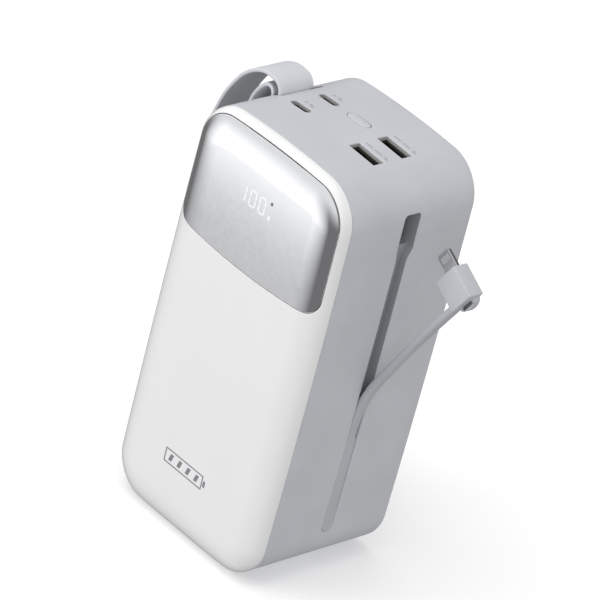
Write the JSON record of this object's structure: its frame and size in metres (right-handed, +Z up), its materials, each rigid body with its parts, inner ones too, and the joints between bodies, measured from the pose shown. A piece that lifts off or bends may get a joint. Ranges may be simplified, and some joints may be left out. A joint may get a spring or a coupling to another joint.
{
  "type": "power bank with built-in cable and hand strap",
  "caption": "Tall boxy power bank with a domed white front, mirrored display window, top ports, a side-stowed flat charging cable and a soft hand strap.",
  "frame": {"origin": "centre of the flat patch on the base, midway through the case depth", "axes": "+Z up; the domed front with the display window faces -Y; the cable channel is on +X and the strap on -X"},
  "size_m": [0.1305, 0.0643, 0.1625],
  "materials": {
    "case_grey": "satin",
    "cover_white": "gloss",
    "mirror_window": "mirror",
    "button_grey": "satin",
    "strap_silicone": "satin",
    "cable_jacket": "satin",
    "connector_grey": "satin",
    "plated_steel": "polished",
    "black_plastic": "satin",
    "circuit_board": "satin",
    "cell_foil": "satin",
    "foam_pad": "matte",
    "natural_plastic": "satin",
    "screw_steel": "satin",
    "nickel_strip": "satin",
    "capacitor_can": "satin"
  },
  "bodies": {
    "case": {"battery_cell_1": "cell_foil", "battery_cell_2": "cell_foil", "battery_cell_3": "cell_foil", "battery_cell_4": "cell_foil", "battery_cell_5": "cell_foil", "board_connector": "natural_plastic", "busbar_negative": "nickel_strip", "busbar_positive": "nickel_strip", "cable_clamp": "black_plastic", "cable_fixed_run": "cable_jacket", "capacitor_1": "capacitor_can", "capacitor_2": "capacitor_can", "cell_cradle": "natural_plastic", "cell_pad_1": "foam_pad", "cell_pad_2": "foam_pad", "cell_pad_3": "foam_pad", "cell_pad_4": "foam_pad", "cell_top_plate": "natural_plastic", "digit_light_guide": "natural_plastic", "display_board": "circuit_board", "display_window": "mirror_window", "front_cover": "cover_white", "main_board": "circuit_board", "main_board_screw_1": "screw_steel", "main_board_screw_2": "screw_steel", "main_board_screw_3": "screw_steel", "main_board_screw_4": "screw_steel", "port_board": "circuit_board", "port_board_screw_1": "screw_steel", "port_board_screw_2": "screw_steel", "power_inductor_1": "black_plastic", "power_inductor_2": "black_plastic", "protection_board": "circuit_board", "rear_housing": "case_grey", "strap_pin": "screw_steel", "strap_root": "strap_silicone", "tact_switch": "black_plastic", "usb_a_front_shell": "plated_steel", "usb_a_front_tongue": "black_plastic", "usb_a_rear_shell": "plated_steel", "usb_a_rear_tongue": "black_plastic", "usb_c_front_shell": "plated_steel", "usb_c_front_tongue": "black_plastic", "usb_c_rear_shell": "plated_steel", "usb_c_rear_tongue": "black_plastic"},
    "button": {"power_button": "button_grey"},
    "strap": {"strap_loop": "strap_silicone"},
    "link_1": {"cable_link_1": "cable_jacket"},
    "link_2": {"cable_link_2": "cable_jacket"},
    "link_3": {"cable_link_3": "cable_jacket"},
    "link_4": {"cable_link_4": "cable_jacket"},
    "link_5": {"cable_link_5": "cable_jacket"},
    "link_6": {"cable_link_6": "cable_jacket"},
    "connector": {"cable_link_7": "cable_jacket", "connector_head": "connector_grey", "plug_tongue": "plated_steel", "contact_insert": "black_plastic"}
  },
  "joints": [
    {"name": "button_press", "type": "slide", "parent": "case", "child": "button", "axis": [0, 0, -1], "range_m": [0, 0.0005], "stiffness_N_per_m": 2000, "springref_m": -0.0005},
    {"name": "strap_swing", "type": "hinge", "parent": "case", "child": "strap", "pos_m": [-0.0345, 0.0026, 0.1603], "axis": [0, 1, 0], "range_deg": [0, 90]},
    {"name": "cable_bend_1", "type": "hinge", "parent": "case", "child": "link_1", "pos_m": [0.0363, 0.0022, 0.0585], "axis": [0, -1, 0], "range_deg": [0, 5.5]},
    {"name": "cable_bend_2", "type": "hinge", "parent": "link_1", "child": "link_2", "pos_m": [0.03687, 0.0022, 0.06447], "axis": [0, -1, 0], "range_deg": [0, 5.51]},
    {"name": "cable_bend_3", "type": "hinge", "parent": "link_2", "child": "link_3", "pos_m": [0.03802, 0.0022, 0.07036], "axis": [0, -1, 0], "range_deg": [0, 5.51]},
    {"name": "cable_bend_4", "type": "hinge", "parent": "link_3", "child": "link_4", "pos_m": [0.03972, 0.0022, 0.07612], "axis": [0, -1, 0], "range_deg": [0, 5.51]},
    {"name": "cable_bend_5", "type": "hinge", "parent": "link_4", "child": "link_5", "pos_m": [0.04197, 0.0022, 0.08168], "axis": [0, -1, 0], "range_deg": [0, 4.41]},
    {"name": "cable_bend_6", "type": "hinge", "parent": "link_5", "child": "link_6", "pos_m": [0.04997, 0.0022, 0.0978], "axis": [0, -1, 0], "range_deg": [0, 1.81]},
    {"name": "cable_bend_7", "type": "hinge", "parent": "link_6", "child": "connector", "pos_m": [0.05801, 0.0022, 0.11278], "axis": [0, -1, 0], "range_deg": [0, 1.61]}
  ],
  "couplings": [
    {"joint": "cable_bend_2", "follows": "cable_bend_1", "ratio": 1},
    {"joint": "cable_bend_3", "follows": "cable_bend_1", "ratio": 1},
    {"joint": "cable_bend_4", "follows": "cable_bend_1", "ratio": 1},
    {"joint": "cable_bend_5", "follows": "cable_bend_1", "ratio": 0.8},
    {"joint": "cable_bend_6", "follows": "cable_bend_1", "ratio": 0.32727},
    {"joint": "cable_bend_7", "follows": "cable_bend_1", "ratio": 0.29091}
  ]
}
